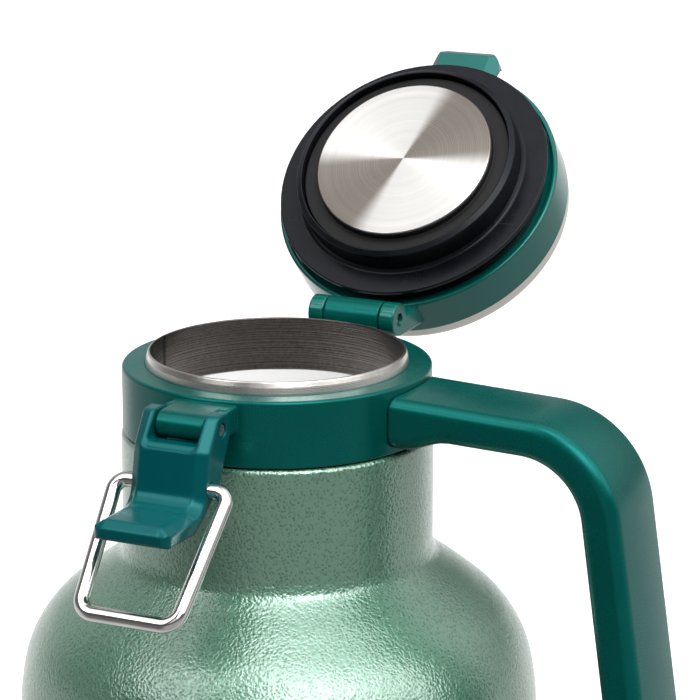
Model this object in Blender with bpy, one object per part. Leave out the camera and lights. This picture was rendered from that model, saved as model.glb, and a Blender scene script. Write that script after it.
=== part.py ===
"""Vacuum flask: double-walled steel bottle with a plastic collar, a side
handle, a hinged insulated lid and a wire-bail latch.

Metres, +Z up.  Origin on the bottle's axis at the base.  The latch faces -Y,
the lid's hinge is at +Y and the handle at +X.  The lid stands open, the lever
is part way down and the bail hangs below it.
"""
import math

import bpy
import bmesh
from mathutils import Vector

MM = 0.001

# ---------------------------------------------------------------- dimensions
# All in millimetres.  "rel" heights are measured from the rim's top plane.
RIM_Z = 238.0            # rim top above the base
SEG = 36                 # facets round every turned piece
GAP = 0.3                # clearance between touching pieces
BODY_R = 66.4
NECK_R = 39.4
SHELL_T = 0.9
LINER_T = 0.8
MOUTH_R = 31.7
RIM_R = 33.12
COLLAR_R = 39.0
COLLAR_TOP = -3.2
COLLAR_BOT = -19.92

HINGE_Y, HINGE_Z = 46.29, -1.78
HINGE_HALF = 12.4
KNUCKLE_R = 4.4
KNUCKLE_HALF = 7.8
LID_OPEN_DEG = 135.6

PIN_Y, PIN_Z = -48.4, -7.56
LUG_R = 3.4
LUG_HALF = 6.4
LEVER_HALF = 10.5
LEVER_FLAT = 7.5
BAIL_Y, BAIL_Z = -54.82, -20.68
BAIL_TILT_DEG = 41.5
BAIL_LEN = 35.1
BAIL_R = 1.9
BAIL_BORE_R = 2.2
BAIL_TOP_HALF, BAIL_BAR_HALF = 15.3, 13.0

LID_R = 39.3
LID_TOP = 18.6
COVER_R = 38.8
COVER_TOP = 23.6
DISC_R = 24.35
DISC_Z = -8.1
FLANGE_R = 36.7
FLANGE_Z = 0.3

HANDLE_W = 26.7
HANDLE_LOW_Z = -160.5
HANDLE_LOW_HALF = 4.9

# outer neck-to-shoulder curve: (radius, rel height)
SHOULDER = [(39.4, -49.3), (40.4, -52.4), (43.4, -55.2), (49.9, -60.0),
            (57.9, -67.0), (63.5, -76.0), (65.95, -87.0), (66.4, -98.0)]
# liner's neck-to-shoulder curve
LINER_SHOULDER = [(32.5, -47.0), (34.2, -52.0), (39.6, -57.3), (46.6, -63.0),
                  (54.0, -70.2), (59.4, -79.5), (61.9, -90.5), (62.3, -101.0)]


# ---------------------------------------------------------------- helpers
for ob in list(bpy.data.objects):
    bpy.data.objects.remove(ob, do_unlink=True)

SCENE = bpy.context.scene.collection


def material(name, colour, rough, metal):
    mat = bpy.data.materials.new(name)
    mat.use_nodes = True
    for node in mat.node_tree.nodes:
        if node.type == 'BSDF_PRINCIPLED':
            node.inputs['Base Color'].default_value = (*colour, 1.0)
            node.inputs['Roughness'].default_value = rough
            node.inputs['Metallic'].default_value = metal
    return mat


def spline(points, per=3):
    """Points along a smooth curve through the given ones (Catmull-Rom)."""
    out = []
    n = len(points)
    for i in range(n - 1):
        p0 = Vector(points[max(i - 1, 0)])
        p1 = Vector(points[i])
        p2 = Vector(points[i + 1])
        p3 = Vector(points[min(i + 2, n - 1)])
        for k in range(per):
            t = k / per
            q = 0.5 * ((2 * p1) + (p2 - p0) * t
                       + (2 * p0 - 5 * p1 + 4 * p2 - p3) * t * t
                       + (3 * p1 - p0 - 3 * p2 + p3) * t ** 3)
            out.append((q[0], q[1]))
    out.append(tuple(points[-1]))
    return out


def arc(cx, cy, r, a0, a1, n):
    """n + 1 points on a circle from angle a0 to a1 in degrees."""
    return [(cx + r * math.cos(math.radians(a0 + (a1 - a0) * i / n)),
             cy + r * math.sin(math.radians(a0 + (a1 - a0) * i / n)))
            for i in range(n + 1)]


def offset(points, d):
    """An open polyline moved sideways by d (to its right when walking it)."""
    out = []
    n = len(points)
    for i in range(n):
        a = Vector(points[max(i - 1, 0)])
        b = Vector(points[i])
        c = Vector(points[min(i + 1, n - 1)])
        d1 = (b - a).normalized() if i > 0 else (c - b).normalized()
        d2 = (c - b).normalized() if i < n - 1 else d1
        n1 = Vector((d1[1], -d1[0]))
        n2 = Vector((d2[1], -d2[0]))
        m = (n1 + n2).normalized()
        m = m / max(m.dot(n1), 0.35)
        q = b + m * d
        out.append((q[0], q[1]))
    return out


def rel(points):
    """Heights measured from the rim become heights above the base."""
    return [(r, z + RIM_Z) for r, z in points]


def new_object(name, bm, mat=None, parent=None, smooth=30.0):
    bmesh.ops.recalc_face_normals(bm, faces=bm.faces)
    origin = Vector((0, 0, 0))
    if parent is not None:
        origin = Vector(parent['home'])
    for v in bm.verts:
        v.co = (v.co - origin) * MM
    mesh = bpy.data.meshes.new(name)
    bm.to_mesh(mesh)
    bm.free()
    if smooth:
        mesh.shade_smooth()
        mesh.set_sharp_from_angle(angle=math.radians(smooth))
    ob = bpy.data.objects.new(name, mesh)
    if mat is not None:
        mesh.materials.append(mat)
    SCENE.objects.link(ob)
    if parent is not None:
        ob.parent = parent
    return ob


def turned(points, seg=SEG):
    """A solid of revolution about Z from a closed (r, z) outline; an outline
    that starts and ends on the axis is closed by the axis."""
    bm = bmesh.new()
    rings = []
    for r, z in points:
        if r < 1e-6:
            rings.append([bm.verts.new((0, 0, z))])
        else:
            rings.append([bm.verts.new((r * math.cos(2 * math.pi * i / seg),
                                        r * math.sin(2 * math.pi * i / seg), z))
                          for i in range(seg)])
    on_axis = len(rings[0]) == 1 and len(rings[-1]) == 1
    pairs = list(zip(rings[:-1], rings[1:]))
    if not on_axis:
        pairs.append((rings[-1], rings[0]))
    for a, b in pairs:
        for i in range(seg):
            j = (i + 1) % seg
            if len(a) == 1 and len(b) == 1:
                continue
            if len(a) == 1:
                bm.faces.new((a[0], b[i], b[j]))
            elif len(b) == 1:
                bm.faces.new((a[i], b[0], a[j]))
            else:
                bm.faces.new((a[i], b[i], b[j], a[j]))
    return bm


def prism(outline, axis, lo, hi):
    """A closed outline pushed along an axis.  The outline's two numbers are
    (Y, Z) for axis X, (X, Z) for axis Y and (X, Y) for axis Z."""
    def at(p, t):
        return {'X': (t, p[0], p[1]), 'Y': (p[0], t, p[1]),
                'Z': (p[0], p[1], t)}[axis]
    bm = bmesh.new()
    a = [bm.verts.new(at(p, lo)) for p in outline]
    b = [bm.verts.new(at(p, hi)) for p in outline]
    bm.faces.new(a)
    bm.faces.new(list(reversed(b)))
    n = len(outline)
    for i in range(n):
        j = (i + 1) % n
        bm.faces.new((a[i], b[i], b[j], a[j]))
    return bm


def rod(axis, centre, r, lo, hi, seg=20):
    """A cylinder along X, Y or Z about the two other coordinates given."""
    return prism(arc(centre[0], centre[1], r, 0, 360 - 360 / seg, seg - 1),
                 axis, lo, hi)


def box(lo, hi):
    return prism([(lo[0], lo[1]), (hi[0], lo[1]), (hi[0], hi[1]), (lo[0], hi[1])],
                 'Z', lo[2], hi[2])


def combine(ob, bm, op, name, parent=None):
    """Joins a helper solid to a piece, or cuts it away."""
    helper = new_object('tool_' + name, bm, parent=parent, smooth=0)
    helper.hide_render = True
    helper.display_type = 'WIRE'
    mod = ob.modifiers.new(name, 'BOOLEAN')
    mod.operation = op
    mod.solver = 'EXACT'
    mod.object = helper
    return helper


def fillet_path(points, radii, n):
    """A polyline whose inner corners are replaced by arcs."""
    out = [tuple(points[0])]
    for i in range(1, len(points) - 1):
        a, b, c = (Vector(points[k]) for k in (i - 1, i, i + 1))
        u = (a - b).normalized()
        v = (c - b).normalized()
        half = 0.5 * math.acos(max(-1, min(1, u.dot(v))))
        r = radii[i - 1]
        t = r / math.tan(half)
        centre = b + (u + v).normalized() * (r / math.sin(half))
        s = b + u * t - centre
        e = b + v * t - centre
        a0 = math.atan2(s[1], s[0])
        a1 = math.atan2(e[1], e[0])
        d = (a1 - a0 + math.pi) % (2 * math.pi) - math.pi
        for k in range(n + 1):
            q = a0 + d * k / n
            out.append((centre[0] + r * math.cos(q), centre[1] + r * math.sin(q)))
    out.append(tuple(points[-1]))
    return out


def axis_empty(name, home, parent=None):
    ob = bpy.data.objects.new(name, None)
    ob['home'] = home
    base = Vector(parent['home']) if parent is not None else Vector((0, 0, 0))
    ob.location = (Vector(home) - base) * MM
    if parent is not None:
        ob.parent = parent
    SCENE.objects.link(ob)
    return ob


# ---------------------------------------------------------------- materials
M_SHELL = material('hammered_green_paint', (0.19, 0.33, 0.24), 0.38, 0.35)
M_STEEL = material('brushed_steel', (0.62, 0.60, 0.57), 0.28, 1.0)
M_BASE = material('base_paint', (0.17, 0.30, 0.22), 0.42, 0.35)
M_BASECOVER = material('base_cover_steel', (0.58, 0.57, 0.55), 0.35, 1.0)
M_SEAL = material('seal_glass_metal', (0.35, 0.34, 0.32), 0.4, 0.8)
M_GETTER = material('getter_metal', (0.25, 0.25, 0.26), 0.6, 0.7)
M_COLLAR = material('collar_green_plastic', (0.0, 0.085, 0.066), 0.45, 0.0)
M_HANDLE = material('handle_green_plastic', (0.0, 0.088, 0.069), 0.45, 0.0)
M_SCREW = material('screw_steel', (0.45, 0.45, 0.45), 0.35, 1.0)
M_BRACKET = material('bracket_steel', (0.5, 0.5, 0.5), 0.4, 1.0)
M_PIN = material('pin_steel', (0.6, 0.58, 0.55), 0.3, 1.0)
M_LIDCAP = material('lid_green_plastic', (0.0, 0.095, 0.074), 0.42, 0.0)
M_COVER = material('lid_cover_steel', (0.72, 0.69, 0.66), 0.3, 1.0)
M_FOAM = material('lid_foam', (0.75, 0.73, 0.66), 0.9, 0.0)
M_PLUG = material('plug_black_plastic', (0.012, 0.012, 0.014), 0.5, 0.0)
M_GASKET = material('gasket_black_rubber', (0.013, 0.013, 0.015), 0.6, 0.0)
M_DISC = material('plug_disc_steel', (0.70, 0.67, 0.63), 0.25, 1.0)
M_LEVER = material('lever_blue_green_plastic', (0.0, 0.080, 0.085), 0.4, 0.0)
M_BAIL = material('bail_chromed_wire', (0.75, 0.74, 0.72), 0.12, 1.0)

# ---------------------------------------------------------------- bottle
# outer wall: bare tube under the collar, painted neck, shoulder and body
wall = ([(34.4, -5.6), (34.4, -20.25), (38.4, -20.3), (39.15, -20.7), (39.4, -21.5)]
        + spline(SHOULDER, 1))
outer = rel(wall) + [(BODY_R, 9.3)]
inner = offset(outer, SHELL_T)
# offset() moves to the right of the walking direction: downwards that is
# towards the axis
inner[-1] = (BODY_R - SHELL_T, 9.3)
inner[0] = (34.4 - SHELL_T, outer[0][1])
outer_shell = new_object('outer_shell', turned(outer + list(reversed(inner))), M_SHELL)

# welded base dish with a flat foot ring and a recess for the cover
outer_base = new_object('outer_base', turned([
    (3.1, 2.9), (50.0, 2.9), (50.0, 0.4), (50.5, 0.0), (61.0, 0.0),
    (63.0, 0.4), (65.2, 1.9), (66.4, 4.6), (66.4, 9.0), (65.5, 9.0),
    (65.2, 7.0), (63.6, 4.9), (60.8, 3.9), (3.1, 3.9)]), M_BASE)
base_cover = new_object('base_cover', turned([
    (0, 0), (48.6, 0.0), (49.6, 0.6), (49.6, 2.5), (0, 2.5)]), M_BASECOVER)
vacuum_seal = new_object('vacuum_seal', turned([
    (0, 2.95), (2.7, 2.95), (2.7, 4.25), (5.2, 4.25), (5.2, 4.9), (4.2, 5.5), (0, 5.5)], 24),
    M_SEAL)
getter = new_object('getter', rod('Z', (22.0, 0.0), 8.0, 7.6, 10.4, 24), M_GETTER)

# inner wall: turned lip, neck, shoulder, body and domed floor
lip = [(32.0, 0.0), (32.85, 0.0), (33.12, -0.3), (33.12, -3.6), (32.5, -4.4)]
liner_out = rel(lip[3:] + spline(LINER_SHOULDER, 1)) + [
    (62.3, 22.0), (61.2, 17.0), (58.2, 13.4), (53.5, 11.6), (47.0, 11.0), (0, 11.0)]
liner_in = rel([(31.7, -0.3), (31.7, -4.4)]
               + [(r - 0.8, z) for r, z in spline(LINER_SHOULDER, 1)[:1]]
               + offset(spline(LINER_SHOULDER, 1), LINER_T)[1:]) + [
    (61.5, 22.2), (60.4, 17.6), (57.7, 14.2), (53.2, 12.4), (47.0, 11.8), (0, 11.8)]
inner_liner = new_object('inner_liner', turned(
    list(reversed(liner_in)) + rel(lip[:3]) + liner_out), M_STEEL)

# ---------------------------------------------------------------- collar
collar = new_object('collar', turned(rel([
    (33.5, COLLAR_TOP), (38.2, COLLAR_TOP), (38.8, -3.45), (COLLAR_R, -4.1),
    (COLLAR_R, -19.4), (38.6, COLLAR_BOT), (34.75, COLLAR_BOT),
    (34.75, -5.25), (33.5, -5.25)])), M_COLLAR)
# latch lug: wide root on the collar, narrow web and a barrel round the pin
combine(collar, box((-8.6, -43.5, RIM_Z - 11.2), (8.6, -36.2, RIM_Z - 4.3)),
        'UNION', 'lug_root')
lug = ([(-36.4, -4.25), (PIN_Y, PIN_Z + LUG_R)]
       + arc(PIN_Y, PIN_Z, LUG_R, 105, 255, 9)
       + [(PIN_Y, PIN_Z - LUG_R), (-46.0, -10.4), (-36.4, -10.4)])
combine(collar, prism([(y, z + RIM_Z) for y, z in lug], 'X', -LUG_HALF, LUG_HALF),
        'UNION', 'lug_barrel')
# hinge knuckle on a bracket behind the rim
web = [(36.5, -3.6), (44.2, -3.4), (HINGE_Y, HINGE_Z), (47.6, -5.6), (45.0, -7.4), (36.5, -15.0)]
combine(collar, prism([(y, z + RIM_Z) for y, z in web], 'X', -KNUCKLE_HALF, KNUCKLE_HALF),
        'UNION', 'knuckle_web')
combine(collar, rod('X', (HINGE_Y, HINGE_Z + RIM_Z), KNUCKLE_R, -KNUCKLE_HALF, KNUCKLE_HALF, 28),
        'UNION', 'knuckle')
combine(collar, rod('X', (HINGE_Y, HINGE_Z + RIM_Z), 1.7, -20, 20, 20), 'DIFFERENCE', 'hinge_hole')
combine(collar, rod('X', (PIN_Y, PIN_Z + RIM_Z), 1.7, -20, 20, 20), 'DIFFERENCE', 'lever_hole')
SCREW_Z = RIM_Z - 12.4
for tag, y in (('a', -7.5), ('b', 7.5)):
    combine(collar, rod('X', (y, SCREW_Z), 3.6, 30.0, 36.8, 20), 'DIFFERENCE', 'head_' + tag)
    combine(collar, rod('X', (y, SCREW_Z), 2.05, 30.0, 45.0, 20), 'DIFFERENCE', 'hole_' + tag)

hinge_pin = new_object('hinge_pin', rod('X', (HINGE_Y, HINGE_Z + RIM_Z), 1.5, -11.5, 11.5, 20), M_PIN)
lever_pin = new_object('lever_pin', rod('X', (PIN_Y, PIN_Z + RIM_Z), 1.5, -10.3, 10.3, 20), M_PIN)

# ---------------------------------------------------------------- handle
# the grip's outer and inner edge in the XZ plane: short arm, bend, slanted
# grip, bend, lower arm back to the body
def flare(x):
    t = max(0.0, min(1.0, (52.0 - x) / 12.0))
    return 3.2 * t * t * (3 - 2 * t)


low_out = HANDLE_LOW_Z - HANDLE_LOW_HALF
low_in = HANDLE_LOW_Z + HANDLE_LOW_HALF
outer = fillet_path([(33.0, -5.13), (93.93, -7.53), (117.1, low_out), (60.0, low_out)], [26.5, 24.0], 8)
inner = fillet_path([(33.0, -15.04), (84.81, -16.69), (104.5, low_in), (60.0, low_in)], [16.7, 14.5], 8)
# extra points on the upper arm so that its root can flare
steps = (0.0, 6.0, 8.0, 10.0, 12.5, 16.0, 21.0)
left = [(33.0 + t, -5.13 - 0.0394 * t) for t in steps] + outer[1:]
right = [(33.0 + t, -15.04 - 0.032 * t - flare(33.0 + t)) for t in steps] + inner[1:]
# a rounded-rectangle section carried along that line
CORNER_R = 3.0
section = []
for k, a0 in enumerate((0, 90, 180, 270)):
    sy = (1, -1, -1, 1)[k]
    st = (1, 1, -1, -1)[k]
    for q in (0, 30, 60, 90):
        w = math.radians(a0 + q)
        section.append((sy * (HANDLE_W / 2 - CORNER_R) + CORNER_R * math.cos(w),
                        st, CORNER_R * math.sin(w)))
bm = bmesh.new()
rings = []
for (lx, lz), (rx, rz) in zip(left, right):
    mid = Vector(((lx + rx) / 2, 0, (lz + rz) / 2 + RIM_Z))
    e = Vector(((lx - rx) / 2, 0, (lz - rz) / 2))
    h = e.length
    e = e / h
    rings.append([bm.verts.new(mid + Vector((0, y, 0)) + e * (st * (h - CORNER_R) + t))
                  for y, st, t in section])
for a, b in zip(rings[:-1], rings[1:]):
    for k in range(len(section)):
        j = (k + 1) % len(section)
        bm.faces.new((a[k], b[k], b[j], a[j]))
bm.faces.new(rings[0])
bm.faces.new(list(reversed(rings[-1])))
handle = new_object('handle', bm, M_HANDLE)
combine(handle, rod('Z', (0, 0), COLLAR_R + GAP, RIM_Z - 40, RIM_Z + 20, SEG * 2), 'DIFFERENCE', 'collar_seat')
combine(handle, rod('Z', (0, 0), BODY_R + 0.5, RIM_Z - 190, RIM_Z - 120, SEG * 2), 'DIFFERENCE', 'body_seat')
for tag, y in (('c', -7.5), ('d', 7.5)):
    combine(handle, rod('X', (y, SCREW_Z), 2.05, 30.0, 53.0, 20), 'DIFFERENCE', 'pilot_' + tag)
LOW = RIM_Z + HANDLE_LOW_Z
combine(handle, box((60.0, -7.9, LOW - 2.3), (77.6, 7.9, LOW + 2.3)), 'DIFFERENCE', 'tongue_socket')
combine(handle, rod('Z', (72.5, 0), 3.5, LOW - 6.0, LOW - 3.3, 20), 'DIFFERENCE', 'low_head')
combine(handle, rod('Z', (72.5, 0), 1.95, LOW - 6.0, LOW, 20), 'DIFFERENCE', 'low_hole')

for tag, y in (('a', -7.5), ('b', 7.5)):
    screw = new_object('handle_screw_' + tag, rod('X', (y, SCREW_Z), 1.75, 36.0, 52.0, 20), M_SCREW)
    combine(screw, rod('X', (y, SCREW_Z), 3.2, 34.75, 36.5, 20), 'UNION', 'screw_head_' + tag)
    combine(screw, rod('X', (y, SCREW_Z), 1.2, 34.0, 35.6, 6), 'DIFFERENCE', 'screw_drive_' + tag)
handle_bracket = new_object('handle_bracket', box((64.0, -7.5, LOW - 2.0), (77.2, 7.5, LOW + 2.0)), M_BRACKET)
combine(handle_bracket, rod('Z', (0, 0), BODY_R + GAP, LOW - 20, LOW + 20, SEG * 2), 'DIFFERENCE', 'weld_seat')
combine(handle_bracket, rod('Z', (72.5, 0), 1.95, LOW - 10, LOW + 10, 20), 'DIFFERENCE', 'thread')
screw = new_object('handle_screw_lower', rod('Z', (72.5, 0), 1.65, LOW - 4.0, LOW + 1.7, 20), M_SCREW)
combine(screw, rod('Z', (72.5, 0), 3.2, LOW - 4.25, LOW - 3.6, 20), 'UNION', 'low_screw_head')
combine(screw, rod('Z', (72.5, 0), 1.2, LOW - 5.0, LOW - 3.8, 6), 'DIFFERENCE', 'low_screw_drive')

# ---------------------------------------------------------------- lid
# modelled shut, then swung open about the hinge pin
lid_axis = axis_empty('lid_axis', (0.0, HINGE_Y, RIM_Z + HINGE_Z))
lid_cap = new_object('lid_cap', turned(rel([
    (0, 9.2), (35.2, 9.2), (35.2, LID_TOP), (38.9, LID_TOP), (LID_R, 18.2),
    (LID_R, 7.4), (39.0, 6.0), (38.4, 5.1), (37.7, 4.75), (37.25, 5.1),
    (37.25, 6.9), (0, 6.9)])), M_LIDCAP, lid_axis)
ear = [(35.9, 13.5), (37.6, 12.6), (48.9, 2.3), (50.2, 0.2), (HINGE_Y, HINGE_Z),
       (42.6, 0.8), (41.1, 2.24), (38.6, 4.4), (37.5, 5.6), (35.9, 6.2)]
for tag, lo, hi in (('l', -HINGE_HALF, -8.1), ('r', 8.1, HINGE_HALF)):
    combine(lid_cap, prism([(y, z + RIM_Z) for y, z in ear], 'X', lo, hi), 'UNION', 'ear_' + tag, lid_axis)
    combine(lid_cap, rod('X', (HINGE_Y, HINGE_Z + RIM_Z), KNUCKLE_R, lo, hi, 28), 'UNION',
            'knuckle_' + tag, lid_axis)
combine(lid_cap, rod('X', (HINGE_Y, HINGE_Z + RIM_Z), 1.75, -20, 20, 20), 'DIFFERENCE', 'lid_hole', lid_axis)
# hook tab: a shelf with an upturned lip that holds the bail's bar, its lower
# edges chamfered
hook = [(-36.6, 8.0), (-36.6, 4.9), (-44.7, 4.9), (-47.3, 7.5), (-47.3, 13.1), (-46.9, 13.8), (-46.4, 13.9),
        (-45.95, 13.4), (-45.85, 10.6), (-45.2, 9.95), (-44.5, 9.7), (-40.4, 8.15)]
hook_plan = [(-10.0, -36.4), (-10.0, -45.4), (-8.0, -47.6), (8.0, -47.6), (10.0, -45.4), (10.0, -36.4)]
hook_end = [(-10.0, 15.0), (-10.0, 7.0), (-7.9, 4.8), (7.9, 4.8), (10.0, 7.0), (10.0, 15.0)]
tab_side = new_object('tool_hook', prism([(y, z + RIM_Z) for y, z in hook], 'X', -12, 12),
                      parent=lid_axis, smooth=0)
tab_side.hide_render = True
tab_side.display_type = 'WIRE'
combine(tab_side, prism(hook_plan, 'Z', RIM_Z + 2, RIM_Z + 16), 'INTERSECT', 'hook_plan', lid_axis)
combine(tab_side, prism([(x, z + RIM_Z) for x, z in hook_end], 'Y', -50, -30), 'INTERSECT', 'hook_end', lid_axis)
# room behind the lip for the bail's bar
combine(lid_cap, box((-11.6, -46.0, RIM_Z + 8.0), (11.6, -37.7, RIM_Z + 14.8)), 'DIFFERENCE', 'bar_room', lid_axis)
mod = lid_cap.modifiers.new('hook', 'BOOLEAN')
mod.operation = 'UNION'
mod.solver = 'EXACT'
mod.object = tab_side

lid_cover = new_object('lid_cover', turned(rel(
    [(0, COVER_TOP), (14.0, COVER_TOP - 0.2), (27.0, COVER_TOP - 0.75), (36.6, COVER_TOP - 1.6),
     (38.1, COVER_TOP - 2.2), (COVER_R, COVER_TOP - 3.2), (COVER_R, 18.9), (37.6, 18.9),
     (37.6, COVER_TOP - 3.3), (36.4, COVER_TOP - 2.5), (27.0, COVER_TOP - 1.6), (14.0, COVER_TOP - 1.05),
     (0, COVER_TOP - 0.85)])), M_COVER, lid_axis)
lid_foam = new_object('lid_foam', turned(rel([
    (0, 20.6), (30.0, 19.8), (34.4, 18.4), (34.8, 17.6), (34.8, 9.5), (0, 9.5)])), M_FOAM, lid_axis)
lid_gasket = new_object('lid_gasket', turned(rel([
    (29.0, 6.6), (29.0, -7.2), (29.3, -7.6), (30.2, -7.3), (30.7, -6.7), (30.7, -1.0),
    (31.08, -0.08), (32.0, FLANGE_Z), (36.4, FLANGE_Z), (FLANGE_R, 0.6), (FLANGE_R, 1.5),
    (35.6, 1.7), (35.6, 6.6)])), M_GASKET, lid_axis)
lid_plug = new_object('lid_plug', turned(rel([
    (0, 6.6), (28.7, 6.6), (28.7, -5.4), (24.6, -5.4), (24.4, -5.6), (24.4, -7.0), (0, -7.0)])),
    M_PLUG, lid_axis)
plug_disc = new_object('plug_disc', turned(rel([
    (0, -7.3), (DISC_R, -7.3), (DISC_R, -7.85), (24.1, DISC_Z), (0, DISC_Z)])), M_DISC, lid_axis)
lid_axis.rotation_euler = (-math.radians(LID_OPEN_DEG), 0, 0)

# ---------------------------------------------------------------- latch
lever_axis = axis_empty('lever_axis', (0.0, PIN_Y, RIM_Z + PIN_Z))
side = ([(-44.35, -9.2)] + arc(PIN_Y, PIN_Z, 4.2, -10, 120, 8)
        + [(-52.2, -7.0), (-55.6, -11.8), (-57.0, -16.6), (-58.4, -21.4), (-59.9, -24.2), (-62.6, -26.3),
           (-65.0, -26.8), (-74.6, -26.8), (-76.2, -27.3), (-76.2, -28.5), (-75.2, -29.2), (-63.0, -29.3),
           (-60.5, -28.6), (-54.5, -24.6), (-50.6, -21.4)])
# between the broad side chamfers the front stands prouder
centre = (side[:8] + [(-49.6, -3.45), (-51.2, -4.1), (-53.6, -7.0), (-57.0, -11.2), (-58.1, -16.3), (-59.3, -20.6),
                      (-60.9, -23.0), (-62.9, -24.2), (-65.0, -24.4), (-74.3, -24.4), (-76.2, -26.3)] + side[19:])
bm = bmesh.new()
rings = [[bm.verts.new((x, y, z + RIM_Z)) for y, z in outline]
         for x, outline in ((-LEVER_HALF, side), (-LEVER_FLAT, centre), (LEVER_FLAT, centre), (LEVER_HALF, side))]
for a, b in zip(rings[:-1], rings[1:]):
    for i in range(len(side)):
        j = (i + 1) % len(side)
        bm.faces.new((a[i], b[i], b[j], a[j]))
bm.faces.new(rings[0])
bm.faces.new(list(reversed(rings[-1])))
latch_lever = new_object('latch_lever', bm, M_LEVER, lever_axis)
# slot round the lug, open at the top and at the back
slot = [(-40.0, -12.4), (-51.5, -12.4), (-53.6, -11.2), (-60.0, -10.4), (-60.0, 4.0), (-40.0, 4.0)]
combine(latch_lever, prism([(y, z + RIM_Z) for y, z in slot], 'X', -6.75, 6.75), 'DIFFERENCE',
        'lever_slot', lever_axis)
# hollow back
pocket = [(-41.0, -13.6), (-50.4, -13.6), (-53.6, -14.4), (-55.6, -21.6), (-55.6, -23.2), (-51.0, -20.4), (-41.0, -20.4)]
combine(latch_lever, prism([(y, z + RIM_Z) for y, z in pocket], 'X', -8.4, 8.4), 'DIFFERENCE',
        'lever_pocket', lever_axis)
combine(latch_lever, rod('X', (PIN_Y, PIN_Z + RIM_Z), 1.75, -20, 20, 20), 'DIFFERENCE', 'lever_bore', lever_axis)
combine(latch_lever, rod('X', (BAIL_Y, BAIL_Z + RIM_Z), BAIL_BORE_R, -20, 20, 20), 'DIFFERENCE', 'bail_bore', lever_axis)
# chamfered corners of the finger tab
for tag, s in (('l', -1), ('r', 1)):
    cut = [(s * 8.9, -80.0), (s * 8.9, -76.4), (s * 10.7, -74.2), (s * 14.0, -74.2), (s * 14.0, -80.0)]
    combine(latch_lever, prism(cut, 'Z', RIM_Z - 40, RIM_Z - 20), 'DIFFERENCE', 'tab_' + tag, lever_axis)

bail_axis = axis_empty('bail_axis', (0.0, BAIL_Y, RIM_Z + BAIL_Z), lever_axis)
# the wire's centre line, across (X) and along the bail (s)
wire = fillet_path([(-8.8, 0.0), (-BAIL_TOP_HALF, 0.0), (-BAIL_BAR_HALF, BAIL_LEN),
                    (BAIL_BAR_HALF, BAIL_LEN), (BAIL_TOP_HALF, 0.0), (8.8, 0.0)],
                   [3.2, 4.2, 4.2, 3.2], 4)
tilt = math.radians(BAIL_TILT_DEG)
path = [Vector((x, BAIL_Y - math.sin(tilt) * s, RIM_Z + BAIL_Z - math.cos(tilt) * s)) for x, s in wire]
across = Vector((0, -math.cos(tilt), math.sin(tilt)))
bm = bmesh.new()
rings = []
SIDES = 12
for i, p in enumerate(path):
    a = path[max(i - 1, 0)]
    b = path[min(i + 1, len(path) - 1)]
    t = (b - a).normalized()
    n = across
    m = t.cross(n).normalized()
    rings.append([bm.verts.new(p + BAIL_R * (math.cos(2 * math.pi * k / SIDES) * n
                                             + math.sin(2 * math.pi * k / SIDES) * m))
                  for k in range(SIDES)])
for a, b in zip(rings[:-1], rings[1:]):
    for k in range(SIDES):
        j = (k + 1) % SIDES
        bm.faces.new((a[k], b[k], b[j], a[j]))
bm.faces.new(rings[0])
bm.faces.new(list(reversed(rings[-1])))
bail = new_object('bail', bm, M_BAIL, bail_axis)
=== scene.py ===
"""Looks of the vacuum flask: every visible piece rebuilt as a fine mesh on the
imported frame, with procedural finishes, a pale floor and soft studio light.

Lengths are in millimetres until a mesh is made; heights called "rel" are
measured from the rim's top plane.
"""
import math

import bpy
import bmesh
from mathutils import Matrix, Vector


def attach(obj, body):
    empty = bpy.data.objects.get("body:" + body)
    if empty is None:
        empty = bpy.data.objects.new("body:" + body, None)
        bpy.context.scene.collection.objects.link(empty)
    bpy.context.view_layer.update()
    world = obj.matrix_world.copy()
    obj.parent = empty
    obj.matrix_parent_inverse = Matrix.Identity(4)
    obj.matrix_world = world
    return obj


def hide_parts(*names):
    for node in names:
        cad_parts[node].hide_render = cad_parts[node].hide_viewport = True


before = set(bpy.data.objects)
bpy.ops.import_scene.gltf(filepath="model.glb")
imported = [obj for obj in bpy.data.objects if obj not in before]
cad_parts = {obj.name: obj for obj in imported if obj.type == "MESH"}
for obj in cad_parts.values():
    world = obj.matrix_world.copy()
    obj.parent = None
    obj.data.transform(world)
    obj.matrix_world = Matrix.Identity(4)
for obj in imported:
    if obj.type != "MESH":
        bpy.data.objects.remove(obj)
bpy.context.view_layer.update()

MM = 0.001
RIM = 238.0
SEG = 192

HINGE_Y, HINGE_Z = 46.29, -1.78
HINGE_HALF, KNUCKLE_HALF, KNUCKLE_R = 12.4, 7.8, 4.4
LID_OPEN = math.radians(135.6)
PIN_Y, PIN_Z = -48.4, -7.56
LUG_R, LUG_HALF, LEVER_HALF, LEVER_FLAT = 3.4, 6.4, 10.2, 7.5
BAIL_Y, BAIL_Z = -54.82, -20.68
BAIL_TILT = math.radians(41.5)
BAIL_LEN, BAIL_R, BAIL_TOP_HALF, BAIL_BAR_HALF = 35.1, 1.9, 15.3, 13.0
BODY_R, COLLAR_R, GAP = 66.4, 39.0, 0.3
HANDLE_W, HANDLE_LOW_Z, HANDLE_LOW_HALF = 26.7, -160.5, 4.9

SHOULDER = [(39.4, -49.3), (40.4, -52.4), (43.4, -55.2), (49.9, -60.0),
            (57.9, -67.0), (63.5, -76.0), (65.95, -87.0), (66.4, -98.0)]
LINER_SHOULDER = [(32.5, -47.0), (34.2, -52.0), (39.6, -57.3), (46.6, -63.0),
                  (54.0, -70.2), (59.4, -79.5), (61.9, -90.5), (62.3, -101.0)]

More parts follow.
